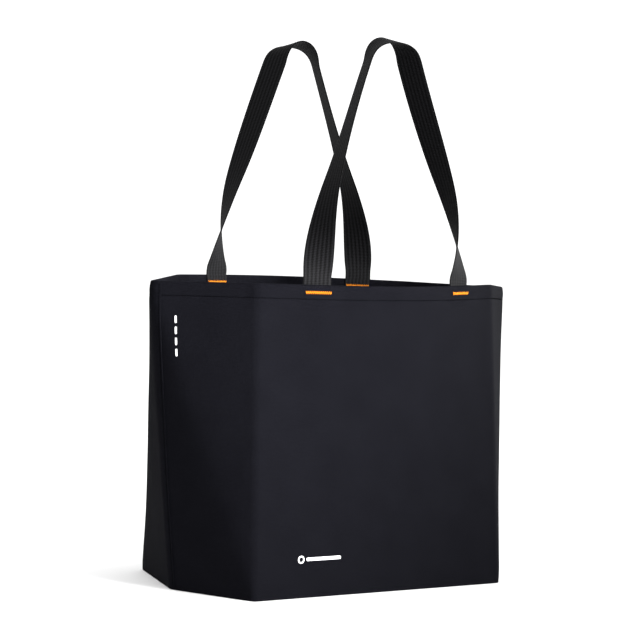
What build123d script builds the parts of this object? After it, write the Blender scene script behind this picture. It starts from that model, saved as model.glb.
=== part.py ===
"""Foldable tote bag with stiffened walls, a fold-up base board and two webbing handles.

Frame: millimetres, +Z up, +X along the front wall, +Y towards the back wall.
Origin: centre of the base, on the surface that the bag stands on.

The plan of the bag is a hexagon. Front and back walls are straight, and each side is
two half panels that meet at a vertical fold in the middle. The walls are upright here,
so that the eight vertical folds are parallel and the bag can scissor flat.
"""

import os
from math import asin, atan2, cos, hypot, pi, sin, sqrt

from build123d import *

os.makedirs("parts", exist_ok=True)

# ---- driving dimensions ------------------------------------------------------------
HEIGHT = 395.0            # floor to rim
FRONT_WIDTH = 388.0       # front wall, from corner fold to corner fold
DEPTH = 234.0             # front wall to back wall, at half height
SIDE_BULGE = 74.0         # how far each side's middle fold stands out past the corners

OUTER_THICKNESS = 1.0     # coated polyester shell
BOARD_THICKNESS = 1.6     # stiffener board sewn into each wall
LINING_THICKNESS = 0.6
WALL_THICKNESS = OUTER_THICKNESS + BOARD_THICKNESS + LINING_THICKNESS

HEM_DEPTH = 20.0          # shell turned over the rim to the inside
BOARD_TOP_GAP = 23.0      # board stops this far below the rim, clear of the hem stitching
HEM_STITCH_DROP = 18.0    # row of stitching, below the rim
THREAD = 0.6

BASE_SHELL_THICKNESS = 1.4
BASE_LINING_THICKNESS = 0.6
WALL_BOTTOM = 2.4         # lower edge of the walls, clear of the base cloth

BASE_BOARD_THICKNESS = 3.0
BASE_BOARD_COVER = 0.6
BASE_BOARD_SIDE_GAP = 7.0
BASE_BOARD_FRONT_GAP = 24.0   # lets the front edge swing up while the front wall comes back
BASE_BOARD_BACK_GAP = 4.0     # from the back wall's lining to the board's hinge line

STRAP_WIDTH = 38.0
STRAP_THICKNESS = 1.6
STRAP_CENTRE = 115.0      # of each strap leg, left and right of the middle
STRAP_RISE = 320.0        # top of the handle's loop above the rim
STRAP_TOP_RADIUS = 24.0   # of the bend at the top of the loop
STRAP_FOOT_RADIUS = 150.0 # of the gentle bend where each leg leaves the rim
STRAP_HINGE_RISE = 6.0    # the strap bends outwards on a line this far above the rim
STRAP_STATIONS = 22       # cross-sections in each leg
TAB_THICKNESS = 1.4       # the end of the strap, pressed flat inside the hem
TAB_RISE = 1.0
TAB_CLEARANCE = 0.1

CORNER_INSET = 1.2        # shell, from each corner fold
CORNER_INSET_INNER = 4.0  # board, lining and turned hem, from each corner fold
MIDDLE_INSET = 2.4        # the same two at the middle fold of each side
MIDDLE_INSET_INNER = 5.0

BARTACK = (34.0, 3.6, 0.4)    # width, height, stand-off from the cloth
BARTACK_DROP = 11.0           # centre of the bartack below the rim

SEAM_STRIP_WIDTH = 11.0
SEAM_STRIP_THICKNESS = 0.5
SEAM_STRIP_OFFSET = 3.0       # from the side's middle fold

PRINT_THICKNESS = 0.15

# ---- plan --------------------------------------------------------------------------
HALF_WIDTH = FRONT_WIDTH / 2
HALF_DEPTH = DEPTH / 2
FRONT_LEFT = (-HALF_WIDTH, -HALF_DEPTH)
FRONT_RIGHT = (HALF_WIDTH, -HALF_DEPTH)
RIGHT_MIDDLE = (HALF_WIDTH + SIDE_BULGE, 0.0)
BACK_RIGHT = (HALF_WIDTH, HALF_DEPTH)
BACK_LEFT = (-HALF_WIDTH, HALF_DEPTH)
LEFT_MIDDLE = (-HALF_WIDTH - SIDE_BULGE, 0.0)
PLAN = [FRONT_LEFT, FRONT_RIGHT, RIGHT_MIDDLE, BACK_RIGHT, BACK_LEFT, LEFT_MIDDLE]

# name: start and end of the outer face, going round anticlockwise seen from above
WALLS = {
    "front": (FRONT_LEFT, FRONT_RIGHT),
    "right_front": (FRONT_RIGHT, RIGHT_MIDDLE),
    "right_back": (RIGHT_MIDDLE, BACK_RIGHT),
    "back": (BACK_RIGHT, BACK_LEFT),
    "left_back": (BACK_LEFT, LEFT_MIDDLE),
    "left_front": (LEFT_MIDDLE, FRONT_LEFT),
}
MIDDLE_FOLDS = (LEFT_MIDDLE, RIGHT_MIDDLE)


def wall_length(wall):
    """Distance between the two folds that bound a wall."""
    (x0, y0), (x1, y1) = WALLS[wall]
    return hypot(x1 - x0, y1 - y0)


def wall_plane(wall, depth=0.0):
    """Plane on a wall: x along it from its start, y up, z outwards. depth moves it inwards."""
    (x0, y0), (x1, y1) = WALLS[wall]
    length = wall_length(wall)
    along = ((x1 - x0) / length, (y1 - y0) / length, 0)
    outwards = (along[1], -along[0], 0)
    return Plane(origin=(x0, y0, 0), x_dir=along, z_dir=outwards).offset(-depth)


def span(wall, inner):
    """Start and end of a layer along its wall, held back from the folds."""
    start, end = WALLS[wall]
    corner = CORNER_INSET_INNER if inner else CORNER_INSET
    middle = MIDDLE_INSET_INNER if inner else MIDDLE_INSET
    first = middle if start in MIDDLE_FOLDS else corner
    last = middle if end in MIDDLE_FOLDS else corner
    return first, wall_length(wall) - last


def rectangle(x_range, y_range):
    """A rectangle in the current sketch, from its lower left to its upper right corner."""
    (x0, x1), (y0, y1) = x_range, y_range
    with Locations(((x0 + x1) / 2, (y0 + y1) / 2)):
        Rectangle(x1 - x0, y1 - y0)


def finish(part, label):
    """Label a finished piece and write it."""
    part.label = label
    export_step(part, f"parts/{label}.step")


# ---- wall shells: one sheet each, turned over the rim and down inside ------------------
STRAP_SLOTS = {"front": (-STRAP_CENTRE, STRAP_CENTRE), "back": (-STRAP_CENTRE, STRAP_CENTRE)}

for wall in WALLS:
    outer_span = span(wall, inner=False)
    inner_span = span(wall, inner=True)
    middle = wall_length(wall) / 2
    with BuildPart() as shell:
        with BuildSketch(wall_plane(wall)):
            rectangle(outer_span, (WALL_BOTTOM, HEIGHT))
        extrude(amount=-OUTER_THICKNESS)
        with BuildSketch(wall_plane(wall, OUTER_THICKNESS)):
            rectangle(inner_span, (HEIGHT - OUTER_THICKNESS, HEIGHT))
        extrude(amount=-(BOARD_THICKNESS + LINING_THICKNESS))
        with BuildSketch(wall_plane(wall, WALL_THICKNESS - LINING_THICKNESS)):
            rectangle(inner_span, (HEIGHT - HEM_DEPTH, HEIGHT))
        extrude(amount=-LINING_THICKNESS)
        for centre in STRAP_SLOTS.get(wall, ()):
            half = STRAP_WIDTH / 2 + 2 * TAB_CLEARANCE
            with BuildSketch(wall_plane(wall, OUTER_THICKNESS)):
                rectangle((middle + centre - half, middle + centre + half),
                          (HEIGHT - 2 * OUTER_THICKNESS, HEIGHT + OUTER_THICKNESS))
            extrude(amount=-BOARD_THICKNESS, mode=Mode.SUBTRACT)
    finish(shell.part, f"{wall}_shell")

# ---- stiffener boards ----------------------------------------------------------------
BOARD_CLEARANCE = 0.1

for wall in WALLS:
    with BuildPart() as board:
        with BuildSketch(wall_plane(wall, OUTER_THICKNESS + BOARD_CLEARANCE)):
            rectangle(span(wall, inner=True), (WALL_BOTTOM + 3.0, HEIGHT - BOARD_TOP_GAP))
        extrude(amount=-(BOARD_THICKNESS - 2 * BOARD_CLEARANCE))
        fillet(board.edges().filter_by(lambda e: e.length < BOARD_THICKNESS), radius=2.5)
    finish(board.part, f"{wall}_board")

# ---- linings -------------------------------------------------------------------------
LINING_TOP_GAP = 0.3

for wall in WALLS:
    with BuildPart() as lining:
        with BuildSketch(wall_plane(wall, OUTER_THICKNESS + BOARD_THICKNESS)):
            rectangle(span(wall, inner=True), (WALL_BOTTOM, HEIGHT - HEM_DEPTH - LINING_TOP_GAP))
        extrude(amount=-LINING_THICKNESS)
    finish(lining.part, f"{wall}_lining")

# ---- hem stitching: a row on the outside and one on the inside of each wall --------------
for wall in WALLS:
    stitch_z = (HEIGHT - HEM_STITCH_DROP - THREAD / 2, HEIGHT - HEM_STITCH_DROP + THREAD / 2)
    with BuildPart() as stitching:
        for depth in (-THREAD / 2, WALL_THICKNESS):
            with BuildSketch(wall_plane(wall, depth)):
                rectangle(span(wall, inner=True), stitch_z)
            extrude(amount=-THREAD / 2)
    finish(stitching.part, f"{wall}_hem_stitching")

# ---- base cloth ----------------------------------------------------------------------
BASE_LINING_INSET = 8.0

with BuildPart() as base_shell:
    with BuildSketch():
        Polygon(*PLAN, align=None)
    extrude(amount=BASE_SHELL_THICKNESS)
finish(base_shell.part, "base_shell")

with BuildPart() as base_lining:
    with BuildSketch(Plane.XY.offset(BASE_SHELL_THICKNESS)):
        Polygon(*PLAN, align=None)
        offset(amount=-BASE_LINING_INSET, kind=Kind.INTERSECTION)
    extrude(amount=BASE_LINING_THICKNESS)
finish(base_lining.part, "base_lining")

# ---- base board: lies on the base cloth, hinged along its back edge ----------------------
INNER_HALF_DEPTH = HALF_DEPTH - WALL_THICKNESS
board_sides = (-HALF_WIDTH + BASE_BOARD_SIDE_GAP, HALF_WIDTH - BASE_BOARD_SIDE_GAP)
board_front = -INNER_HALF_DEPTH + BASE_BOARD_FRONT_GAP
board_back = INNER_HALF_DEPTH - BASE_BOARD_BACK_GAP
BASE_BOARD_CORNER = 8.0

with BuildPart() as base_board:
    with BuildSketch(Plane.XY.offset(WALL_BOTTOM)):
        rectangle(board_sides, (board_front, board_back))
    extrude(amount=BASE_BOARD_THICKNESS)
    fillet(base_board.edges().filter_by(Axis.Z), radius=BASE_BOARD_CORNER)
finish(base_board.part, "base_board")

with BuildPart() as base_cover:
    with BuildSketch(Plane.XY.offset(WALL_BOTTOM + BASE_BOARD_THICKNESS)):
        rectangle(board_sides, (board_front, board_back))
    extrude(amount=BASE_BOARD_COVER)
    fillet(base_cover.edges().filter_by(Axis.Z), radius=BASE_BOARD_CORNER)
finish(base_cover.part, "base_board_cover")

# ---- strap ends: held flat between the shell and the turned hem ---------------------------
STRAP_PLACES = [
    ("front", "left", -STRAP_CENTRE),
    ("front", "right", STRAP_CENTRE),
    ("back", "left", STRAP_CENTRE),
    ("back", "right", -STRAP_CENTRE),
]

for wall, side, centre in STRAP_PLACES:
    middle = wall_length(wall) / 2
    tab_x = (middle + centre - STRAP_WIDTH / 2, middle + centre + STRAP_WIDTH / 2)
    with BuildPart() as tab:
        with BuildSketch(wall_plane(wall, OUTER_THICKNESS + TAB_CLEARANCE)):
            rectangle(tab_x, (HEIGHT - BOARD_TOP_GAP + 1.0, HEIGHT + TAB_RISE))
        extrude(amount=-TAB_THICKNESS)
    finish(tab.part, f"{wall}_strap_end_{side}")

# ---- bartacks: thread blocks that pin each strap end, inside and outside ------------------
for wall, side, centre in STRAP_PLACES:
    middle = wall_length(wall) / 2
    width, height, stand_off = BARTACK
    with BuildPart() as bartack:
        for depth in (-stand_off, WALL_THICKNESS):
            with BuildSketch(wall_plane(wall, depth)):
                with Locations((middle + centre, HEIGHT - BARTACK_DROP)):
                    RectangleRounded(width, height, height * 0.3)
            extrude(amount=-stand_off)
    finish(bartack.part, f"{wall}_bartack_{side}")

# ---- handles: one loop of webbing each -----------------------------------------------------
# Each leg leaves the rim flat against the wall and turns a quarter turn on its way up, so
# that the loop's top lies flat across the hand. The two handles mirror each other.
LEG_FOOT = STRAP_HINGE_RISE + 1.0   # where the moving part of the strap starts, above the rim
FLAT_SHARE = 0.06                   # of a leg's length, before it starts to turn


def leg_geometry():
    """Lean of the straight part of a leg, and the lengths of its foot bend, straight and top bend."""
    centre_gap = STRAP_CENTRE - STRAP_FOOT_RADIUS
    rise = STRAP_RISE - STRAP_TOP_RADIUS - STRAP_THICKNESS / 2 - LEG_FOOT
    reach = hypot(rise, centre_gap)
    radius_change = STRAP_FOOT_RADIUS - STRAP_TOP_RADIUS
    lean = atan2(centre_gap, rise) + asin(radius_change / reach)
    straight = sqrt(reach**2 - radius_change**2)
    return lean, STRAP_FOOT_RADIUS * lean, straight, STRAP_TOP_RADIUS * (pi / 2 - lean)


def strap_station(share, side, wall_side):
    """Point and directions of the webbing at a share of the way from foot to top of one leg."""
    lean, foot_bend, straight, top_bend = leg_geometry()
    run = share * (foot_bend + straight + top_bend)
    if run <= foot_bend:
        heading = run / STRAP_FOOT_RADIUS
    elif run <= foot_bend + straight:
        heading = lean
    else:
        heading = lean + (run - foot_bend - straight) / STRAP_TOP_RADIUS
    if run <= foot_bend + straight:
        along = max(0, run - foot_bend)
        x = STRAP_CENTRE - STRAP_FOOT_RADIUS * (1 - cos(heading)) - along * sin(heading)
        z = LEG_FOOT + STRAP_FOOT_RADIUS * sin(heading) + along * cos(heading)
    else:
        x = STRAP_TOP_RADIUS * cos(heading)
        z = STRAP_RISE - STRAP_TOP_RADIUS - STRAP_THICKNESS / 2 + STRAP_TOP_RADIUS * sin(heading)
    turned = max(0, share - FLAT_SHARE) / (1 - FLAT_SHARE)
    quarter_turn = pi / 2 * (1 - (1 - turned) ** 4)
    tangent = Vector(-side * sin(heading), 0, cos(heading))
    sideways = Vector(cos(heading), 0, side * sin(heading))
    across = sideways * cos(quarter_turn) + Vector(0, -side * wall_side, 0) * sin(quarter_turn)
    return Vector(side * x, 0, HEIGHT + z), tangent, across


HANDLE_SIDES = {"front": -1, "back": 1}

for wall, wall_side in HANDLE_SIDES.items():
    strap_y = wall_side * (HALF_DEPTH - WALL_THICKNESS / 2)
    with BuildPart() as handle:
        for side in (-1, 1):
            for station in range(STRAP_STATIONS + 1):
                point, tangent, across = strap_station(station / STRAP_STATIONS, side, wall_side)
                with BuildSketch(Plane(point + Vector(0, strap_y, 0), across, tangent)):
                    Rectangle(STRAP_WIDTH, STRAP_THICKNESS)
            loft(ruled=True)
    finish(handle.part, f"{wall}_handle")

# ---- lapped seam down each side, beside its middle fold -----------------------------------
for wall, name in (("left_front", "left_seam_strip"), ("right_back", "right_seam_strip")):
    with BuildPart() as strip:
        with BuildSketch(wall_plane(wall, -SEAM_STRIP_THICKNESS)):
            rectangle((SEAM_STRIP_OFFSET, SEAM_STRIP_OFFSET + SEAM_STRIP_WIDTH),
                      (WALL_BOTTOM, HEIGHT - HEM_DEPTH - 2.0))
        extrude(amount=-SEAM_STRIP_THICKNESS)
    finish(strip.part, name)

# ---- printed marks: plain shapes in ink ----------------------------------------------------
FRONT_MARK_X = 75.0
FRONT_MARK_Z = 45.0
SIDE_MARK_X = 40.0
SIDE_MARK_TOP = HEIGHT - 42.0
MARK_DOT = 2.6

with BuildPart() as front_mark:
    with BuildSketch(wall_plane("front", -PRINT_THICKNESS)):
        with Locations((FRONT_MARK_X, FRONT_MARK_Z)):
            Circle(5.0)
            Circle(3.2, mode=Mode.SUBTRACT)
        with Locations((FRONT_MARK_X + 30.0, FRONT_MARK_Z)):
            RectangleRounded(40.0, 3.0, 1.4)
    extrude(amount=-PRINT_THICKNESS)
finish(front_mark.part, "front_print")

with BuildPart() as side_mark:
    with BuildSketch(wall_plane("left_front", -PRINT_THICKNESS)):
        for step in range(3):
            with Locations((SIDE_MARK_X, SIDE_MARK_TOP - step * 14.0)):
                RectangleRounded(MARK_DOT, 9.0, 1.2)
    extrude(amount=-PRINT_THICKNESS)
finish(side_mark.part, "side_print")
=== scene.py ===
"""Looks of the foldable tote bag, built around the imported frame. Metres, +Z up, +Y to the back."""

import math
from functools import lru_cache

import bpy
import numpy as np
from mathutils import Matrix, Vector, noise


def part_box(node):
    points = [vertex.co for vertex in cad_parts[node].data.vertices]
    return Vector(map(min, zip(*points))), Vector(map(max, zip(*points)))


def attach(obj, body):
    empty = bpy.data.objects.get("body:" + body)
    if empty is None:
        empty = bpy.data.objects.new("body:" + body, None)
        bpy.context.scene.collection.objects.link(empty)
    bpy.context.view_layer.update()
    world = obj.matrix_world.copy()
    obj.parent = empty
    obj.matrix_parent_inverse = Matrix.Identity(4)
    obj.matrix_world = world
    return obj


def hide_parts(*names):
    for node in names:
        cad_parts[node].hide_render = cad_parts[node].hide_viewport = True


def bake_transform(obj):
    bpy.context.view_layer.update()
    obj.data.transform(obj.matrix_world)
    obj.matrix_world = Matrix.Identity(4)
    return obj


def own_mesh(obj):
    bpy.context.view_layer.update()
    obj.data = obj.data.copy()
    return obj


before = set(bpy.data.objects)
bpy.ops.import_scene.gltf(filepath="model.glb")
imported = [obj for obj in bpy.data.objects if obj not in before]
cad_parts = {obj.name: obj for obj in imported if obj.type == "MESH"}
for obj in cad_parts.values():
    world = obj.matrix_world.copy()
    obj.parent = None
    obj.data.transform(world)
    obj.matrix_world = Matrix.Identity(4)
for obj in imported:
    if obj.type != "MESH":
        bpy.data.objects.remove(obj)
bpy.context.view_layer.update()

MM = 0.001

# ---- the bag's outline ---------------------------------------------------------------
# The frame has upright walls at the mean outline. The cloth bag leans in towards its rim,
# and as its side panels keep their width, their middle folds stand out further up there.
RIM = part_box("front_shell")[1].z
CORNER_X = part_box("front_shell")[1].x + 1.2 * MM
CORNER_Y = -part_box("front_shell")[0].y
SIDE_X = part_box("base_shell")[1].x

BASE_X, BASE_Y, BASE_SIDE = CORNER_X + 5.5 * MM, CORNER_Y + 17 * MM, SIDE_X - 19 * MM
RIM_X, RIM_Y, RIM_SIDE = CORNER_X - 3.5 * MM, CORNER_Y - 22 * MM, SIDE_X + 24.5 * MM
RIM_BOW = {"front": 46 * MM, "back": 34 * MM}   # the front and back rims bow out in the middle
SIDE_FOOT_AHEAD = 16 * MM     # the side folds' feet stand this far in front of the middle
FOOT_SHIFT = -2.5 * MM        # x of the base's middle, from the rim's
DIAGONAL_EDGE = 2.6           # how crisply a side panel bends along its diagonal
RIM_LIFT = {                  # how far each fold's top stands above the rim's mean height
    "front_left": 2 * MM, "front_right": 5 * MM, "right_middle": -2.5 * MM,
    "back_right": -1 * MM, "back_left": 3 * MM, "left_middle": -1.5 * MM,
}
RIM_SAG = {"front": 1 * MM, "back": -1 * MM}   # how far the rim dips in the middle of a wall

FLOOR_GAP = 0.5 * MM          # height of the walls' lower edge
CLOTH = 0.9 * MM              # thickness of the shell cloth
BOARD = (1.2 * MM, 2.4 * MM)  # depth of the stiffener's two faces below the shell's face
LINING = (2.5 * MM, 3.0 * MM)  # the same for the lining
WALL = 3.8 * MM               # thickness over the rolled rim
HEM = 20 * MM                 # how far the shell turns down inside
STITCH_DROP = 18 * MM         # of the hem's stitches below the rim

strap_low, strap_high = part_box("front_strap_end_right")
STRAP_WIDTH = strap_high.x - strap_low.x
STRAP_CENTRE = (strap_low.x + strap_high.x) / 2
RIBS = 7                      # along the webbing, on both faces
STRAP_END_DROP = 27 * MM      # the strap's end shows through the shell down to here, below the rim

FOLDS = {
    "front_left": ((-BASE_X, -BASE_Y), (-RIM_X, -RIM_Y)),
    "front_right": ((BASE_X, -BASE_Y), (RIM_X, -RIM_Y)),
    "right_middle": ((BASE_SIDE, -SIDE_FOOT_AHEAD), (RIM_SIDE, 0)),
    "back_right": ((BASE_X, BASE_Y), (RIM_X, RIM_Y)),
    "back_left": ((-BASE_X, BASE_Y), (-RIM_X, RIM_Y)),
    "left_middle": ((-BASE_SIDE, -SIDE_FOOT_AHEAD), (-RIM_SIDE, 0)),
}
WALLS = {
    "front": ("front_left", "front_right"),
    "right_front": ("front_right", "right_middle"),
    "right_back": ("right_middle", "back_right"),
    "back": ("back_right", "back_left"),
    "left_back": ("back_left", "left_middle"),
    "left_front": ("left_middle", "front_left"),
}
BODIES = {
    "front": "front_wall",
    "right_front": "side_right_front",
    "right_back": "side_right_back",
    "back": "back_wall",
    "left_back": "side_left_back",
    "left_front": "side_left_front",
}
CORNER_STRIP = 15 * MM        # half width of the cloth that bends at a corner fold
MIDDLE_STRIP = 45 * MM        # the same at the middle fold of a side
STRIP = {fold: MIDDLE_STRIP if "middle" in fold else CORNER_STRIP for fold in FOLDS}
CREASE = 6.5 * MM             # a corner fold's round part reaches this far each side
SIDE_CREASE = (5 * MM, 14 * MM)  # the same at the foot and the rim of the side folds
OPEN_FOLD = "back_right"      # the linkage's open pivot: no joint bends the cloth here


def ease(x):
    """0 below 0, 1 above 1, smooth between."""
    x = min(1.0, max(0.0, x))
    return x * x * (3 - 2 * x)


def fold_point(fold, z):
    """Where a fold's line is at a height, as x and y."""
    base, rim = (np.array(p) for p in FOLDS[fold])
    return base + (rim - base) * (z / RIM) + np.array((FOOT_SHIFT * (1 - z / RIM), 0.0))


@lru_cache(maxsize=None)
def wall_ends(wall, z):
    """Start, unit direction, outward normal and length of a wall at a height."""
    start, end = (fold_point(fold, z) for fold in WALLS[wall])
    length = float(np.linalg.norm(end - start))
    along = (end - start) / length
    return start, along, np.array((along[1], -along[0])), length


@lru_cache(maxsize=None)
def walls_beside(fold):
    """The walls before and after a fold, going round the bag."""
    before = next(wall for wall, ends in WALLS.items() if ends[1] == fold)
    after = next(wall for wall, ends in WALLS.items() if ends[0] == fold)
    return before, after


def crease(fold, z):
    """How far a fold's round part reaches each side at a height."""
    if "middle" not in fold:
        return CREASE
    foot, rim = SIDE_CREASE
    return foot + (rim - foot) * z / RIM


def rim_lift(wall, share):
    """How far the rim stands above its mean height, at a share of the way along a wall."""
    start, end = (RIM_LIFT[fold] for fold in WALLS[wall])
    return start + (end - start) * share - RIM_SAG.get(wall, 0.0) * math.sin(math.pi * share)


def from_corner(wall, share):
    """Turns a share along a side panel into one that starts at its corner fold."""
    return share if "middle" in WALLS[wall][1] else 1 - share


def belly(wall, share, z, outward):
    """How far a wall stands out past the flat line between its folds, as x and y."""
    height = min(1.0, max(0.0, z / RIM))
    if wall in ("front", "back"):
        return outward * RIM_BOW[wall] * math.sin(math.pi * share) * height ** 1.5
    # A side panel keeps its width, so it bends along the line from its lower corner to the side fold's top.
    across = min(1.0, max(0.0, from_corner(wall, share)))
    above, below = across * (1 - height), height * (1 - across)
    if min(above, below) <= 0:
        return np.zeros(2)
    reach = (above ** -DIAGONAL_EDGE + below ** -DIAGONAL_EDGE) ** (-1 / DIAGONAL_EDGE)
    corner, middle = WALLS[wall] if "middle" in WALLS[wall][1] else reversed(WALLS[wall])
    corner_lean = fold_point(corner, RIM) - fold_point(corner, 0)
    middle_lean = fold_point(middle, RIM) - fold_point(middle, 0)
    return (middle_lean - corner_lean) * reach


def strap_bulge(wall, off_middle, z):
    """The strap's end shows through the shell as a slightly raised patch."""
    if wall not in ("front", "back"):
        return 0.0
    rise, slope = 0.5 * MM, 3 * MM
    beside = STRAP_WIDTH / 2 + slope / 2 - abs(abs(off_middle) - STRAP_CENTRE)
    above = z - (RIM - STRAP_END_DROP)
    return rise * ease(beside / slope) * ease(above / slope)


def ripple(x, y, z, across, up, shift):
    """Smooth noise with these frequencies, in waves to the metre across and up a wall."""
    return noise.noise(Vector((x * across, y * across, z * up + shift)))


def nearness(distance, width):
    """1 at no distance, falling smoothly to 0 within about twice the width."""
    return math.exp(-((distance / width) ** 2))


def relief(x, y, z):
    """How far the cloth stands out or in, in metres: slack over the boards and puckers at the seams."""
    below_rim = RIM - z
    below_stitches = below_rim - STITCH_DROP
    slack = 0.3 * MM + ripple(x, y, z, 8, 5, 0) * 1.1 * MM + ripple(x, y, z, 26, 13, 4) * 0.28 * MM
    pucker = ripple(x, y, z, 75, 14, 9) * 0.55 * MM
    pucker *= nearness(below_stitches, 9 * MM) + 0.6 * nearness(z, 10 * MM)
    groove = nearness(below_stitches, 2.2 * MM) * 0.12 * MM
    puff = 0.7 * MM * math.sin(math.pi * min(1.0, max(0.0, below_rim / STITCH_DROP)))
    return slack * ease(z / (30 * MM)) + pucker + puff - groove


def wall_point(wall, along, z, depth):
    """A point on a wall: along it from its start, up it, and below its outer face."""
    start, direction, outward, length = wall_ends(wall, z)

    def face(reach):
        return start + direction * reach + belly(wall, reach / length, z, outward)

    flat = face(along)
    slope = face(along + MM) - face(along - MM)
    normal = np.array((slope[1], -slope[0])) / np.linalg.norm(slope)
    out = relief(flat[0], flat[1], z) + strap_bulge(wall, along - length / 2, z)
    point = flat + normal * (out * (depth <= CLOTH * 1.2) - depth)
    return np.array((point[0], point[1], z + rim_lift(wall, along / length) * max(0.0, z / RIM) ** 3))


def fold_column_point(fold, side, z, depth):
    """A point near a fold: side is the distance past it, negative before it."""
    before, after = walls_beside(fold)
    length_before = wall_ends(before, z)[3]

    def on_wall(reach):
        if reach < 0:
            return wall_point(before, length_before + reach, z, depth)
        return wall_point(after, reach, z, depth)

    bend = crease(fold, z)
    if abs(side) >= bend:
        return on_wall(side)
    left, right = on_wall(-bend), on_wall(bend)
    share = (side / bend + 1) / 2
    tip = corner_tip(on_wall(-bend - MM), left, on_wall(bend + MM), right)
    return left * (1 - share) ** 2 + tip * 2 * share * (1 - share) + right * share ** 2


def corner_tip(a0, a1, b0, b1):
    """Where two lines would meet, each through two points, seen from above."""
    da, db = a1 - a0, b1 - b0
    cross = da[0] * db[1] - da[1] * db[0]
    tip = (a1 + b1) / 2
    nearly_parallel = 1e-12
    if abs(cross) > nearly_parallel:
        reach = ((b0 - a0)[0] * db[1] - (b0 - a0)[1] * db[0]) / cross
        tip[:2] = (a0 + da * reach)[:2]
    return tip


# ---- mesh building -------------------------------------------------------------------
def new_mesh(name, points, faces, cloth, material, sharp=40):
    """A mesh object with smooth shading and its cloth coordinates, in metres."""
    mesh = bpy.data.meshes.new(name)
    mesh.from_pydata([tuple(p) for p in points], [], faces)
    mesh.polygons.foreach_set("use_smooth", [True] * len(mesh.polygons))
    mesh.set_sharp_from_angle(angle=math.radians(sharp))
    attribute = mesh.attributes.new("cloth", "FLOAT_VECTOR", "POINT")
    attribute.data.foreach_set("vector", np.array(cloth, np.float32).ravel())
    mesh.materials.append(material)
    piece = bpy.data.objects.new(name, mesh)
    bpy.context.scene.collection.objects.link(piece)
    return piece


def tube_of_loops(name, loops, cloth, material, sharp=40):
    """Joins closed loops of points in order. Point i of a loop pairs with its last minus i in the caps."""
    count, around = len(loops), len(loops[0])
    points = [p for loop in loops for p in loop]
    coordinates = [c for loop in cloth for c in loop]
    faces = []
    for i in range(count - 1):
        for j in range(around):
            k = (j + 1) % around
            a, b = i * around, (i + 1) * around
            faces.append((a + j, b + j, b + k, a + k))
    last = (count - 1) * around
    for j in range(around // 2 - 1):
        pair = (j, j + 1, around - 2 - j, around - 1 - j)
        faces.append(pair)
        faces.append(tuple(last + p for p in reversed(pair)))
    return new_mesh(name, points, faces, coordinates, material, sharp)


def steps(first, last, count):
    """Evenly spaced values, both ends included."""
    return [first + (last - first) * i / (count - 1) for i in range(count)]


def heights(low, high):
    """Heights for a wall's rows: close together at the seams, wider between them."""
    rows = {low, high}
    z = low
    while z < high:
        near_base = z < 14 * MM
        near_hem = z > RIM - 34 * MM
        z += 1.3 * MM if near_base or near_hem else 9 * MM
        rows.add(min(z, high))
    return sorted(rows)


def shell_profile():
    """The shell cloth's section as (depth, height): up the outside, over the rim, down the hem, and back."""
    roll = WALL / 2
    outside = [(0.0, z) for z in heights(FLOOR_GAP, RIM - roll)]
    arc = [(roll - roll * math.cos(a), RIM - roll + roll * math.sin(a))
           for a in steps(0, math.pi, 11)[1:]]
    inside = [(WALL, z) for z in reversed(heights(RIM - HEM, RIM - roll)[:-1])]
    small = roll - CLOTH
    arc_back = [(roll - small * math.cos(a), RIM - roll + small * math.sin(a))
                for a in steps(0, math.pi, 11)[1:]]
    back = [(CLOTH, z) for _, z in outside] + arc_back + [(WALL - CLOTH, z) for _, z in inside]
    return outside + arc + inside + back[::-1]


def slab_profile(depths, low, high):
    """A flat layer's section, from its outer face to its inner face."""
    rows = heights(low, high)
    return [(depths[0], z) for z in rows] + [(depths[1], z) for z in reversed(rows)]


def wall_columns(wall, spacing, inset=None):
    """Column functions across a wall's own stretch, between the cloth that bends at its folds."""
    first, last = inset or (STRIP[WALLS[wall][0]], STRIP[WALLS[wall][1]])
    width = wall_ends(wall, 0)[3] - first - last
    columns = []
    for share in steps(0, 1, max(3, round(width / spacing) + 1)):
        def column(z, depth, share=share):
            length = wall_ends(wall, z)[3]
            return wall_point(wall, first + share * (length - first - last), z, depth)
        columns.append((column, first + share * width))
    return columns


def fold_columns(fold, low, high):
    """Column functions across the cloth that bends at a fold."""
    half = STRIP[fold]
    near = [CREASE * k for k in (0, 0.25, 0.5, 0.75, 1, 1.5)]
    far = [k for k in steps(0, half, round(half / (4 * MM)) + 1) if k > 1.7 * CREASE]
    reach = near + far
    sides = sorted({-r for r in reach} | set(reach))
    sides = [s for s in sides if low <= s <= high]
    return [(lambda z, depth, s=s: fold_column_point(fold, s, z, depth), s) for s in sides]


def layer(name, columns, profile, material):
    """A sheet that follows the columns with the profile's section."""
    loops, cloth = [], []
    for column, along in columns:
        loops.append([column(z, depth) for depth, z in profile])
        cloth.append([(along, z, depth) for depth, z in profile])
    return tube_of_loops(name, loops, cloth, material)


def declare_sheet(profile):
    """Works out half the length of a sheet's section, and keeps it nowhere."""
    length = sum(math.dist(a, b) for a, b in zip(profile, profile[1:])) / 2


def bend_at(piece, fold):
    """Works out the direction across a fold at mid height, square to the fold's lean, then only bakes the
    piece's placement into its mesh: the piece is not bent.
    """
    before, after = walls_beside(fold)
    half = STRIP[fold]
    middle = RIM / 2
    start = Vector(fold_column_point(fold, -half, middle, 0.0))
    end = Vector(fold_column_point(fold, half, middle, 0.0))
    fold_line = Vector((*(fold_point(fold, RIM) - fold_point(fold, 0)), RIM)).normalized()
    across = end - start
    across -= fold_line * across.dot(fold_line)
    centre = Vector((*fold_point(fold, middle), middle))
    across.normalize()
    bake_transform(piece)


# ---- materials -----------------------------------------------------------------------
def node(tree, kind, **values):
    """Adds a shader node with its properties by name."""
    made = tree.nodes.new(kind)
    for key, value in values.items():
        setattr(made, key, value)
    return made


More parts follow.
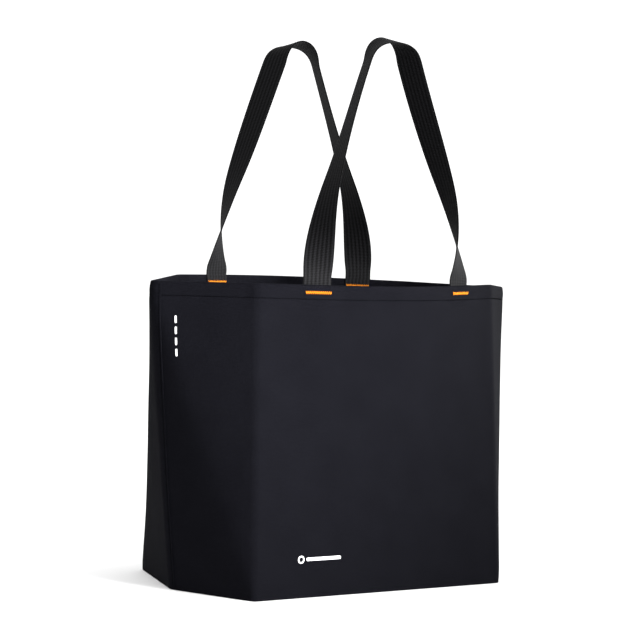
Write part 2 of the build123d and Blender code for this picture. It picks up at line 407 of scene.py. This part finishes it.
def base_material(name, roughness, specular=0.4):
    """A Principled material, its tree and its shader."""
    material = bpy.data.materials.new(name)
    material.use_nodes = True
    tree = material.node_tree
    shader = tree.nodes["Principled BSDF"]
    shader.inputs["Roughness"].default_value = roughness
    shader.inputs["Specular IOR Level"].default_value = specular
    return material, tree, shader


def cloth_coordinates(tree):
    """The along, up and depth coordinates that each sheet's mesh carries."""
    attribute = node(tree, "ShaderNodeAttribute", attribute_name="cloth")
    split = node(tree, "ShaderNodeSeparateXYZ")
    tree.links.new(attribute.outputs["Vector"], split.inputs[0])
    return attribute.outputs["Vector"], split.outputs


def wave(tree, source, pitch):
    """A sine of a coordinate with this pitch, from -1 to 1."""
    scale = node(tree, "ShaderNodeMath", operation="MULTIPLY")
    scale.inputs[1].default_value = 2 * math.pi / pitch
    sine = node(tree, "ShaderNodeMath", operation="SINE")
    tree.links.new(source, scale.inputs[0])
    tree.links.new(scale.outputs[0], sine.inputs[0])
    return sine.outputs[0]


def math_node(tree, operation, first, second):
    """A Math node with sockets or numbers as its inputs."""
    made = node(tree, "ShaderNodeMath", operation=operation)
    for socket, value in zip(made.inputs, (first, second)):
        if isinstance(value, (int, float)):
            socket.default_value = value
        else:
            tree.links.new(value, socket)
    return made.outputs[0]


def grain(tree, vector, scale, detail):
    """Noise over a vector."""
    made = node(tree, "ShaderNodeTexNoise")
    made.inputs["Scale"].default_value = scale
    made.inputs["Detail"].default_value = detail
    tree.links.new(vector, made.inputs["Vector"])
    return made.outputs["Fac"]


def ramp(tree, source, dark, light, low=0.3, high=0.7):
    """Colour from dark to light as the source goes from low to high."""
    made = node(tree, "ShaderNodeValToRGB")
    made.color_ramp.elements[0].position, made.color_ramp.elements[1].position = low, high
    made.color_ramp.elements[0].color = (*dark, 1)
    made.color_ramp.elements[1].color = (*light, 1)
    tree.links.new(source, made.inputs["Fac"])
    return made.outputs["Color"]


def bump(tree, shader, height, distance, strength):
    """Bump on the shader from a height socket."""
    made = node(tree, "ShaderNodeBump")
    made.inputs["Distance"].default_value = distance
    made.inputs["Strength"].default_value = strength
    tree.links.new(height, made.inputs["Height"])
    tree.links.new(made.outputs["Normal"], shader.inputs["Normal"])


def woven(name, dark, light, pitch, roughness, specular, depth):
    """Plain-woven cloth: crossing threads at a pitch, uneven yarn, and faint blotches."""
    material, tree, shader = base_material(name, roughness, specular)
    vector, (along, up, _) = cloth_coordinates(tree)
    warp, weft = wave(tree, along, pitch), wave(tree, up, pitch)
    weave = math_node(tree, "MULTIPLY", warp, weft)
    yarn = grain(tree, vector, 700, 4)
    blotch = grain(tree, vector, 22, 4)
    mixed = math_node(tree, "ADD", math_node(tree, "MULTIPLY", weave, 0.10),
                      math_node(tree, "ADD", math_node(tree, "MULTIPLY", yarn, 0.87),
                                math_node(tree, "MULTIPLY", blotch, 0.13)))
    colour = ramp(tree, mixed, dark, light, 0.4, 0.63)
    tree.links.new(colour, shader.inputs["Base Color"])
    height = math_node(tree, "ADD", weave, math_node(tree, "MULTIPLY", yarn, 1.5))
    bump(tree, shader, height, depth, 0.6)
    return material


def webbing_material():
    """Ribbed webbing: picks across the ribs, and a dull polypropylene shine."""
    material, tree, shader = base_material("webbing", 0.7, 0.05)
    vector, (along, up, _) = cloth_coordinates(tree)
    picks = wave(tree, up, 2.1 * MM)
    rib = STRAP_WIDTH / RIBS
    ribs = wave(tree, math_node(tree, "SUBTRACT", along, rib / 4), rib)
    yarn = grain(tree, vector, 900, 3)
    tone = math_node(tree, "ADD", math_node(tree, "MULTIPLY", picks, 0.14),
                     math_node(tree, "ADD", math_node(tree, "MULTIPLY", ribs, 0.2), yarn))
    tree.links.new(ramp(tree, tone, (0.0006, 0.0006, 0.0007), (0.0085, 0.0085, 0.0095), 0.28, 0.85),
                   shader.inputs["Base Color"])
    height = math_node(tree, "ADD", math_node(tree, "MULTIPLY", picks, 0.6),
                       math_node(tree, "MULTIPLY", yarn, 0.8))
    bump(tree, shader, height, 0.25 * MM, 0.7)
    return material


def thread_material(name, dark, light, specular):
    """Twisted thread: fine slanted plies."""
    material, tree, shader = base_material(name, 0.7, specular)
    _, (along, up, _) = cloth_coordinates(tree)
    ply = wave(tree, math_node(tree, "ADD", along, up), 0.7 * MM)
    tree.links.new(ramp(tree, ply, dark, light, 0.0, 1.0), shader.inputs["Base Color"])
    bump(tree, shader, ply, 0.1 * MM, 0.6)
    return material


def board_material():
    """Pressed plastic board with a fine emboss."""
    material, tree, shader = base_material("stiffener_board", 0.6)
    vector, _ = cloth_coordinates(tree)
    speck = grain(tree, vector, 500, 2)
    tree.links.new(ramp(tree, speck, (0.02, 0.02, 0.022), (0.035, 0.035, 0.04)),
                   shader.inputs["Base Color"])
    bump(tree, shader, speck, 0.2 * MM, 0.4)
    return material


def ink_material():
    """White screen print, slightly broken up by the weave under it."""
    material, tree, shader = base_material("print_ink", 0.65)
    _, (along, up, _) = cloth_coordinates(tree)
    weave = math_node(tree, "MULTIPLY", wave(tree, along, 0.9 * MM), wave(tree, up, 0.9 * MM))
    tree.links.new(ramp(tree, weave, (0.62, 0.62, 0.62), (0.82, 0.82, 0.82), 0.0, 0.6),
                   shader.inputs["Base Color"])
    bump(tree, shader, weave, 0.08 * MM, 0.5)
    return material


SHELL = woven("shell_cloth", (0.0018, 0.0018, 0.0027), (0.0052, 0.0053, 0.0072),
              pitch=0.9 * MM, roughness=0.85, specular=0.015, depth=0.12 * MM)
LINER = woven("lining_cloth", (0.0005, 0.0005, 0.0008), (0.0018, 0.0018, 0.0024),
              pitch=0.8 * MM, roughness=0.9, specular=0.0, depth=0.1 * MM)
WEBBING = webbing_material()
# The thread is black, and its colour is also set far darker than the black cloth's: painted shade that keeps
# the stitch rows dark where their tops would catch the light.
SHADED_BLACK_THREAD = thread_material("black_thread_painted_shade", (0.0002, 0.0002, 0.0002), (0.0006, 0.0006, 0.0007), 0.0)
ORANGE_THREAD = thread_material("orange_thread", (0.42, 0.11, 0.003), (0.75, 0.26, 0.008), 0.1)
PLASTIC_BOARD = board_material()
INK = ink_material()


# ---- camera --------------------------------------------------------------------------
CAMERA_YAW, CAMERA_PITCH, CAMERA_ROLL = (math.radians(a) for a in (35.9, 3.065, 2.51))
CAMERA_DISTANCE, CAMERA_HEIGHT, CAMERA_SHIFT = 3.214, 0.516, -0.0185
LENS = 135.6


def make_camera():
    """A long lens, front left of the bag and a little above it."""
    ahead = Vector((math.sin(CAMERA_YAW), math.cos(CAMERA_YAW), 0))
    right = Vector((math.cos(CAMERA_YAW), -math.sin(CAMERA_YAW), 0))
    place = -ahead * CAMERA_DISTANCE + right * CAMERA_SHIFT + Vector((0, 0, CAMERA_HEIGHT))
    forward = ahead * math.cos(CAMERA_PITCH) - Vector((0, 0, math.sin(CAMERA_PITCH)))
    up = right.cross(forward)
    rolled_right = right * math.cos(CAMERA_ROLL) + up * math.sin(CAMERA_ROLL)
    rolled_up = up * math.cos(CAMERA_ROLL) - right * math.sin(CAMERA_ROLL)
    turn = Matrix((rolled_right, rolled_up, -forward)).transposed()
    data = bpy.data.cameras.new("camera")
    data.lens = LENS
    camera = bpy.data.objects.new("camera", data)
    camera.matrix_world = Matrix.Translation(place) @ turn.to_4x4()
    bpy.context.scene.collection.objects.link(camera)
    bpy.context.scene.camera = camera


# ---- walls ---------------------------------------------------------------------------
def make_walls():
    """Shell, lining and stiffener of each wall, riding on its body."""
    for wall, body in BODIES.items():
        spacing = 4 * MM
        columns = wall_columns(wall, spacing)
        shell = layer(f"{wall}_shell_cloth", columns, shell_profile(), SHELL)
        declare_sheet(shell_profile())
        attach(shell, body)
        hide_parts(f"{wall}_shell")

        profile = slab_profile(LINING, 3 * MM, RIM - HEM + 6 * MM)
        columns = wall_columns(wall, 2 * spacing)
        lining = layer(f"{wall}_lining_cloth", columns, profile, LINER)
        declare_sheet(profile)
        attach(lining, body)
        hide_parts(f"{wall}_lining")

        profile = slab_profile(BOARD, 4 * MM, RIM - 24 * MM)
        inset = [STRIP[fold] if "middle" in fold else 9 * MM for fold in WALLS[wall]]
        board = layer(f"{wall}_stiffener", wall_columns(wall, 4 * spacing, inset), profile, PLASTIC_BOARD)
        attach(board, body)
        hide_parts(f"{wall}_board")


def fold_parts(fold):
    """A fold's cloth as (ending of its name, start, end): one strip, or two at the open fold."""
    half = STRIP[fold]
    if fold == OPEN_FOLD:
        return [("_a", -half, 0.0), ("_b", 0.0, half)]
    return [("", -half, half)]


def follow_fold(piece, fold, high):
    """At the open fold rides a piece on the wall of its own side; elsewhere only bakes its placement into
    its mesh.
    """
    if fold == OPEN_FOLD:
        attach(piece, "side_right_back" if high == 0 else "back_wall")
    else:
        bend_at(piece, fold)


def make_fold_cloth():
    """The shell and lining at each fold; at the open fold each half rides on the wall of its own side."""
    for fold in FOLDS:
        for ending, low, high in fold_parts(fold):
            columns = fold_columns(fold, low, high)
            shell = layer(f"{fold}_fold_shell{ending}", columns, shell_profile(), SHELL)
            profile = slab_profile(LINING, 3 * MM, RIM - HEM + 6 * MM)
            lining = layer(f"{fold}_fold_lining{ending}", columns, profile, LINER)
            declare_sheet(shell_profile())
            declare_sheet(profile)
            follow_fold(shell, fold, high)
            follow_fold(lining, fold, high)


# ---- stitching -----------------------------------------------------------------------
def capsule(start, end, outward, width, height):
    """Loops of a short raised stitch lying on cloth between two points."""
    start, end, outward = Vector(start), Vector(end), Vector(outward)
    along = (end - start).normalized()
    across = along.cross(outward).normalized()
    loops = []
    for share, swell in ((0.0, 0.35), (0.12, 0.8), (0.5, 1.0), (0.88, 0.8), (1.0, 0.35)):
        centre = start.lerp(end, share)
        arch = outward * height * (4 * share * (1 - share)) * 0.6
        loop = []
        for a in steps(0, 2 * math.pi, 7)[:-1]:
            loop.append(centre + arch + across * math.cos(a) * width / 2 * swell
                        + outward * math.sin(a) * height / 2 * swell)
        loops.append(loop)
    return loops


def join_tubes(name, tubes, material):
    """One object from several tubes of loops with flat ends."""
    points, faces, cloth = [], [], []
    for loops in tubes:
        first, around = len(points), len(loops[0])
        for i, loop in enumerate(loops):
            for j, point in enumerate(loop):
                points.append(tuple(point))
                cloth.append((i * 0.3 * MM, j * 0.25 * MM, 0))
        for i in range(len(loops) - 1):
            for j in range(around):
                k = (j + 1) % around
                a, b = first + i * around, first + (i + 1) * around
                faces.append((a + j, a + k, b + k, b + j))
        faces.append(tuple(first + j for j in reversed(range(around))))
        last = first + (len(loops) - 1) * around
        faces.append(tuple(last + j for j in range(around)))
    return new_mesh(name, points, faces, cloth, material, 60)


STITCH_PITCH = 3.6 * MM
STITCH_SHARE = 0.56               # of the pitch that is thread on top of the cloth
STITCH_WIDTH, STITCH_RISE = 1.3 * MM, 0.4 * MM


def stitch_row(point_at, outward_at, first, last):
    """Evenly spaced stitches along a line given by a function of distance."""
    count = max(1, round((last - first) / STITCH_PITCH))
    pitch = (last - first) / count
    tubes = []
    for i in range(count):
        start = first + pitch * (i + (1 - STITCH_SHARE) / 2)
        end = start + pitch * STITCH_SHARE
        tubes.append(capsule(point_at(start), point_at(end), outward_at(start),
                             STITCH_WIDTH, STITCH_RISE))
    return tubes


def level_normal(before, after, inside):
    """The level unit normal of cloth between two points side by side, outward or inward."""
    direction = Vector(after - before)
    normal = Vector((direction.y, -direction.x, 0)).normalized()
    return -normal if inside else normal


def wall_normal(wall, along, z, inside=False):
    """The level normal at a place on a wall."""
    return level_normal(wall_point(wall, along - MM, z, 0), wall_point(wall, along + MM, z, 0), inside)


def fold_normal(fold, side, z, inside=False):
    """The level normal at a place near a fold."""
    before, after = (fold_column_point(fold, side + step, z, 0) for step in (-MM, MM))
    return level_normal(before, after, inside)


def make_stitching():
    """The row of stitching at the hem, outside and inside."""
    z = RIM - STITCH_DROP
    for wall, body in BODIES.items():
        first, last = (STRIP[fold] for fold in WALLS[wall])
        tubes = []
        for depth, inside in ((0.0, False), (WALL, True)):
            tubes += stitch_row(lambda s: wall_point(wall, s, z, depth),
                                lambda s: wall_normal(wall, s, z, inside),
                                first, wall_ends(wall, z)[3] - last)
        row = join_tubes(f"{wall}_stitches", tubes, SHADED_BLACK_THREAD)
        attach(row, body)
        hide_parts(f"{wall}_hem_stitching")
    for fold in FOLDS:
        for ending, low, high in fold_parts(fold):
            tubes = []
            for depth, inside in ((0.0, False), (WALL, True)):
                tubes += stitch_row(lambda s: fold_column_point(fold, s, z, depth),
                                    lambda s: fold_normal(fold, s, z, inside), low, high)
            row = join_tubes(f"{fold}_fold_stitches{ending}", tubes, SHADED_BLACK_THREAD)
            follow_fold(row, fold, high)


# ---- lapped side seams ---------------------------------------------------------------
SEAM_EDGE = (8 * MM, 17 * MM)     # the lapped edge's distance past the side fold, at the foot and the rim
SEAM_LAP = 12 * MM                # how wide the lap is
SEAM_RISE = 1.1 * MM              # how far it stands out
SEAM_STITCH_INSET = 2.5 * MM      # of its stitches from the edge


def seam_edge(z):
    """The lapped edge's distance past the side fold at a height."""
    foot, rim = SEAM_EDGE
    return foot + (rim - foot) * (z / RIM) ** 2


def make_seams():
    """One fold of shell cloth laps over the next panel beside each middle fold."""
    for fold, name in (("left_middle", "left_seam_strip"), ("right_middle", "right_seam_strip")):
        columns = [(lambda z, depth, s=s: fold_column_point(fold, seam_edge(z) - s, z, depth), s)
                   for s in steps(SEAM_LAP, 0, 9)]
        profile = slab_profile((-SEAM_RISE, 0.2 * MM), 2 * MM, RIM - 1.5 * MM)
        strip = layer(f"{name}_cloth", columns, profile, SHELL)
        declare_sheet(profile)
        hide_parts(name)
        tubes = stitch_row(
            lambda s: fold_column_point(fold, seam_edge(s) - SEAM_STITCH_INSET, s, -SEAM_RISE),
            lambda s: fold_normal(fold, seam_edge(s) - SEAM_STITCH_INSET, s), 4 * MM, RIM - 3 * MM)
        row = join_tubes(f"{name}_stitches", tubes, SHADED_BLACK_THREAD)
        bend_at(strip, fold)
        bend_at(row, fold)


# ---- handles -------------------------------------------------------------------------
STRAP_HALF = 0.75 * MM            # half thickness between the ribs
RIB_RISE = 0.3 * MM
EDGE_STEEPNESS = 26               # the webbing thins within 1/26 of its width from each edge
EDGE_SHARE = 0.45                 # of its thickness that is left there
STRAP_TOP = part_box("front_handle")[1].z
TOP_RADIUS = 34 * MM              # of the bend at the top of the loop
FOOT_RADIUS = 400 * MM            # of each leg's gentle bend above its root
STRAP_ROOT = 19 * MM              # how far each end goes down inside the hem
STRAP_DEPTH = WALL + 0.9 * MM     # of the strap's middle below the shell's face: it lies inside the hem
STRAP_TURN = math.radians(110)    # of each leg, from its foot to the start of the top bend
TOP_UNTURN = math.radians(32)     # how much of that turn the top bend takes back
TURN_EARLY = 3.7                  # how early in a leg its turn comes
TOP_SHARE = 0.14                  # of a leg's length that its top bend takes
FOOT_SHARE = 1 / 14               # of a leg's length before it leaves the wall's direction
LEG_STEPS = 90
HANDLES = {                       # side of the bag, lean of the top inwards, how much wider each leg stands
    "front": (-1, 22 * MM, 0.0),
    "back": (1, -6 * MM, 3.5 * MM),
}


def leg_path(share):
    """Half a handle's centre line in its plane: x from the middle, height above the rim, and heading."""
    rise = STRAP_TOP - RIM - TOP_RADIUS - STRAP_HALF
    gap = STRAP_CENTRE - FOOT_RADIUS
    reach = math.hypot(rise, gap)
    lean = math.atan2(gap, rise) + math.asin((FOOT_RADIUS - TOP_RADIUS) / reach)
    straight = math.sqrt(reach ** 2 - (FOOT_RADIUS - TOP_RADIUS) ** 2)
    foot, top = FOOT_RADIUS * lean, TOP_RADIUS * (math.pi / 2 - lean)
    run = share * (foot + straight + top)
    heading = min(run, foot) / FOOT_RADIUS
    if run > foot + straight:
        heading = lean + (run - foot - straight) / TOP_RADIUS
        return TOP_RADIUS * math.cos(heading), rise + TOP_RADIUS * math.sin(heading), heading
    along = max(0.0, run - foot)
    x = STRAP_CENTRE - FOOT_RADIUS * (1 - math.cos(heading)) - along * math.sin(heading)
    return x, FOOT_RADIUS * math.sin(heading) + along * math.cos(heading), heading


def strap_loop(centre, across, face):
    """The webbing's closed section: ribs on both faces, round edges."""
    loop = []
    count = RIBS * 4
    for sign in (1, -1):
        for i in range(count + 1):
            share = i / count
            place = (share - 0.5) * sign
            rib = abs(math.sin(math.pi * RIBS * share))
            edge = min(1.0, min(share, 1 - share) * EDGE_STEEPNESS)
            height = (STRAP_HALF + RIB_RISE * rib) * (EDGE_SHARE + (1 - EDGE_SHARE) * edge)
            loop.append(centre + across * place * STRAP_WIDTH + face * height * sign)
    return loop


def leg_stations(wall, side):
    """Centre, width direction, heading and distance for one leg, from its root to its top."""
    wall_side, lean_in, wider = HANDLES[wall]
    along = wall_ends(wall, RIM)[3] / 2 - side * wall_side * (STRAP_CENTRE + wider)
    root = wall_point(wall, along, RIM, STRAP_DEPTH)
    normal = wall_normal(wall, along, RIM)
    wall_across = Vector((-normal.y, normal.x, 0)) * (1 if wall == "front" else -1)
    stations = []
    for z in steps(RIM - STRAP_ROOT, RIM - 1 * MM, 6):
        centre = Vector(wall_point(wall, along, z, STRAP_DEPTH))
        stations.append((centre, wall_across, Vector((0, 0, 1)), z - RIM))
    travelled = 0.0
    last = None
    for i in range(LEG_STEPS + 1):
        share = i / LEG_STEPS
        x, height, heading = leg_path(share)
        y = root[1] - wall_side * lean_in * ease(share * 1.1)
        centre = Vector((side * (x + wider * (1 - share)), y, RIM + height))
        travelled += (centre - last).length if last else 0.0
        last = centre
        turn = STRAP_TURN * (1 - (1 - share) ** TURN_EARLY)
        turn -= TOP_UNTURN * ease((share - 1 + TOP_SHARE) / TOP_SHARE)
        tangent = Vector((-side * math.sin(heading), 0, math.cos(heading)))
        sideways = Vector((math.cos(heading), 0, side * math.sin(heading)))
        target = sideways * math.cos(turn) + Vector((0, -side * wall_side, 0)) * math.sin(turn)
        keep = ease(1 - share / FOOT_SHARE)
        across = (wall_across * keep + target * (1 - keep)).normalized()
        stations.append((centre, across, tangent, travelled))
    return stations


def make_handles():
    """Each handle is one length of webbing, from inside the hem, up, over and down again."""
    for wall in HANDLES:
        loops, cloth = [], []
        left, right = leg_stations(wall, -1), leg_stations(wall, 1)
        top = left[-1][3]
        route = left + [(c, -a, -t, 2 * top - s) for c, a, t, s in reversed(right[:-1])]
        for centre, across, tangent, travelled in route:
            face = tangent.cross(across).normalized()
            loop = strap_loop(centre, across, face)
            loops.append(loop)
            half = len(loop) // 2
            places = [i / (half - 1) for i in range(half)]
            cloth.append([(p * STRAP_WIDTH, travelled, 0) for p in places + places[::-1]])
        handle = tube_of_loops(f"{wall}_handle_webbing", loops, cloth, WEBBING, 60)
        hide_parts(f"{wall}_handle", f"{wall}_strap_end_left", f"{wall}_strap_end_right")
        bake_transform(handle)


# ---- bartacks ------------------------------------------------------------------------
BARTACK_WIDTH, BARTACK_HEIGHT = 33 * MM, 4.0 * MM
BARTACK_DROP = 9.5 * MM           # of its middle below the rim
BARTACK_ZIGS = 24
BARTACK_THREAD = (1.0 * MM, 0.7 * MM)  # width and rise


def make_bartacks():
    """Dense orange zigzags that pin the strap ends, outside and inside."""
    for wall, (wall_side, _, wider) in HANDLES.items():
        for name, side in (("left", -1), ("right", 1)):
            middle = wall_ends(wall, RIM)[3] / 2 - side * wall_side * (STRAP_CENTRE + wider)
            tubes = []
            for depth, inside in ((-0.1 * MM, False), (STRAP_DEPTH + STRAP_HALF + RIB_RISE, True)):
                for i in range(BARTACK_ZIGS):
                    x0 = middle + BARTACK_WIDTH * (i / BARTACK_ZIGS - 0.5)
                    x1 = x0 + BARTACK_WIDTH / BARTACK_ZIGS
                    low = RIM - BARTACK_DROP - BARTACK_HEIGHT / 2
                    high = low + BARTACK_HEIGHT
                    a, b = (low, high) if i % 2 else (high, low)
                    out = wall_normal(wall, (x0 + x1) / 2, low, inside)
                    tubes.append(capsule(wall_point(wall, x0, a, depth), wall_point(wall, x1, b, depth),
                                         out, *BARTACK_THREAD))
            tack = join_tubes(f"{wall}_bartack_{name}_thread", tubes, ORANGE_THREAD)
            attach(tack, BODIES[wall])
            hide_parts(f"{wall}_bartack_{name}")


def outline(depth):
    """The walls' lower edge, all the way round, at a depth below their outer face."""
    edge = []
    for fold, wall in zip(FOLDS, WALLS):
        columns = fold_columns(fold, -STRIP[fold], STRIP[fold])[:-1] + wall_columns(wall, 16 * MM)[:-1]
        for column, _ in columns:
            edge.append(column(FLOOR_GAP, depth)[:2])
    return edge


def base_sheet(name, rows, material, rings=9):
    """A sheet that fills the walls' lower edge. Rows are (height, inset) round its edge, top to bottom."""
    points, faces, cloth = [], [], []
    edges = {inset: outline(inset) for _, inset in rows}
    around = len(edges[rows[0][1]])

    def add_ring(z, inset, share):
        first = len(points)
        for x, y in edges[inset]:
            sag = noise.noise(Vector((x * share * 14, y * share * 14, 2))) * 0.3 * MM * (1 - share)
            points.append((x * share, y * share, z + max(0.0, sag)))
            cloth.append((x * share, y * share, 0))
        return first

    (top, top_inset), (bottom, bottom_inset) = rows[0], rows[-1]
    order = [add_ring(top, top_inset, k / rings) for k in range(1, rings + 1)]
    order += [add_ring(z, inset, 1) for z, inset in rows[1:-1]]
    order += [add_ring(bottom, bottom_inset, k / rings) for k in range(rings, 0, -1)]
    for a, b in zip(order, order[1:]):
        for j in range(around):
            k = (j + 1) % around
            faces.append((a + j, b + j, b + k, a + k))
    for first, height in ((order[0], top), (order[-1], bottom)):
        centre = len(points)
        points.append((0, 0, height))
        cloth.append((0, 0, 0))
        for j in range(around):
            k = (j + 1) % around
            face = (first + j, first + k, centre)
            faces.append(face if first == order[0] else face[::-1])
    return new_mesh(name, points, faces, cloth, material)


def make_base():
    """Base cloth and its lining, which ride on the back wall, and the materials of the board that swings up.
    """
    shell = base_sheet("base_cloth", [(1.6 * MM, 1.2 * MM), (1.2 * MM, 0.2 * MM),
                                      (0.5 * MM, 0.2 * MM), (0.0, 1.2 * MM)], SHELL)
    lining = base_sheet("base_lining_cloth", [(2.2 * MM, 7 * MM), (1.7 * MM, 7 * MM)], LINER)
    for piece, cad, slot in ((shell, "base_shell", "outer_cloth"), (lining, "base_lining", "lining_cloth")):
        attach(piece, "back_wall")
        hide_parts(cad)
        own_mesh(piece)
    for name, material in (("base_board", PLASTIC_BOARD), ("base_board_cover", LINER)):
        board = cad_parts[name]
        board.data.materials.clear()
        board.data.materials.append(material)


# ---- printed marks -------------------------------------------------------------------
def print_patch(name, wall, shapes, body, cad):
    """Ink shapes on a wall: each is an outer and an inner loop of (along, height) points."""
    points, faces, cloth = [], [], []
    for outer, inner in shapes:
        first = len(points)
        count = len(outer)
        for depth in (-0.22 * MM, 0.05 * MM):
            for loop in (outer, inner):
                for along, z in loop:
                    points.append(tuple(wall_point(wall, along, z, depth)))
                    cloth.append((along, z, 0))
        for j in range(count):
            k = (j + 1) % count
            o0, i0, o1, i1 = (first + r * count for r in range(4))
            faces.append((o0 + j, o0 + k, i0 + k, i0 + j))
            faces.append((o1 + j, i1 + j, i1 + k, o1 + k))
            faces.append((o0 + j, o1 + j, o1 + k, o0 + k))
            faces.append((i0 + j, i0 + k, i1 + k, i1 + j))
    patch = new_mesh(name, points, faces, cloth, INK)
    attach(patch, body)
    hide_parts(cad)


def rounded_bar(x, z, width, height, grow):
    """A bar's outline as a stadium, grown by a distance."""
    radius = min(width, height) / 2
    loop = []
    for a in steps(0, 2 * math.pi, 25)[:-1]:
        sx = max(0.0, width / 2 - radius) * (1 if math.cos(a) >= 0 else -1)
        sz = max(0.0, height / 2 - radius) * (1 if math.sin(a) >= 0 else -1)
        loop.append((x + sx + (radius + grow) * math.cos(a), z + sz + (radius + grow) * math.sin(a)))
    return loop


def bar(x, z, width, height):
    """A filled bar: its inner loop is shrunk almost to its middle line."""
    return rounded_bar(x, z, width, height, 0), rounded_bar(x, z, width, height, -min(width, height) * 0.49)


def ring(x, z, outer, inner):
    """A plain ring."""
    return rounded_bar(x, z, 2 * outer, 2 * outer, 0), rounded_bar(x, z, 2 * inner, 2 * inner, 0)


def make_prints():
    """Plain marks in place of any lettering: a ring and a bar in front, four dashes on the side."""
    front = [ring(70 * MM, 49 * MM, 5.0 * MM, 3.0 * MM), bar(105 * MM, 49 * MM, 54 * MM, 4.4 * MM)]
    print_patch("front_mark_ink", "front", front, "front_wall", "front_print")
    side = [bar(34.5 * MM, RIM - (48 + 14 * i) * MM, 2.6 * MM, 9.5 * MM) for i in range(4)]
    print_patch("side_mark_ink", "left_front", side, "side_left_front", "side_print")


# ---- surroundings --------------------------------------------------------------------
def plain_material(name, colour):
    """A plain matte surround."""
    material, _, shader = base_material(name, 0.9, 0.2)
    shader.inputs["Base Color"].default_value = (*colour, 1)
    return material


def aim_light(data, place, target, power):
    """Puts a light at a place, aimed at a point."""
    data.energy = power
    light = bpy.data.objects.new(data.name, data)
    light.location = place
    light.rotation_euler = (Vector(target) - Vector(place)).to_track_quat("-Z", "Y").to_euler()
    bpy.context.scene.collection.objects.link(light)


def area_light(name, place, target, size, power):
    """A soft box aimed at a point."""
    data = bpy.data.lights.new(name, "AREA")
    data.shape = "RECTANGLE"
    data.size, data.size_y = size
    aim_light(data, place, target, power)


def spot_light(name, place, target, cone, power):
    """A soft-edged spot aimed at a point, with its cone in degrees."""
    data = bpy.data.lights.new(name, "SPOT")
    data.spot_size, data.spot_blend = math.radians(cone), 1.0
    data.shadow_soft_size = 0.4
    aim_light(data, place, target, power)


def make_surroundings():
    """A pale floor, white surround and soft studio lights."""
    mesh = bpy.data.meshes.new("floor")
    reach = 30.0
    mesh.from_pydata([(-reach, -reach, 0), (reach, -reach, 0), (reach, reach, 0), (-reach, reach, 0)],
                     [], [(0, 1, 2, 3)])
    mesh.materials.append(plain_material("floor_white", (0.97, 0.97, 0.97)))
    floor = bpy.data.objects.new("floor", mesh)
    bpy.context.scene.collection.objects.link(floor)
    world = bpy.data.worlds.new("studio")
    world.use_nodes = True
    world.node_tree.nodes["Background"].inputs["Color"].default_value = (1, 1, 1, 1)
    world.node_tree.nodes["Background"].inputs["Strength"].default_value = 1.3
    bpy.context.scene.world = world
    spot_light("key", (0.5, -1.62, 0.66), (-0.27, -0.13, 0.42), 33, 1130)
    area_light("right", (2.6, -0.3, 0.9), (0, 0, 0.3), (0.6, 1.2), 66)
    bpy.context.scene.view_settings.view_transform = "Standard"


make_camera()
make_walls()
make_fold_cloth()
make_stitching()
make_seams()
make_handles()
make_bartacks()
make_base()
make_prints()
make_surroundings()
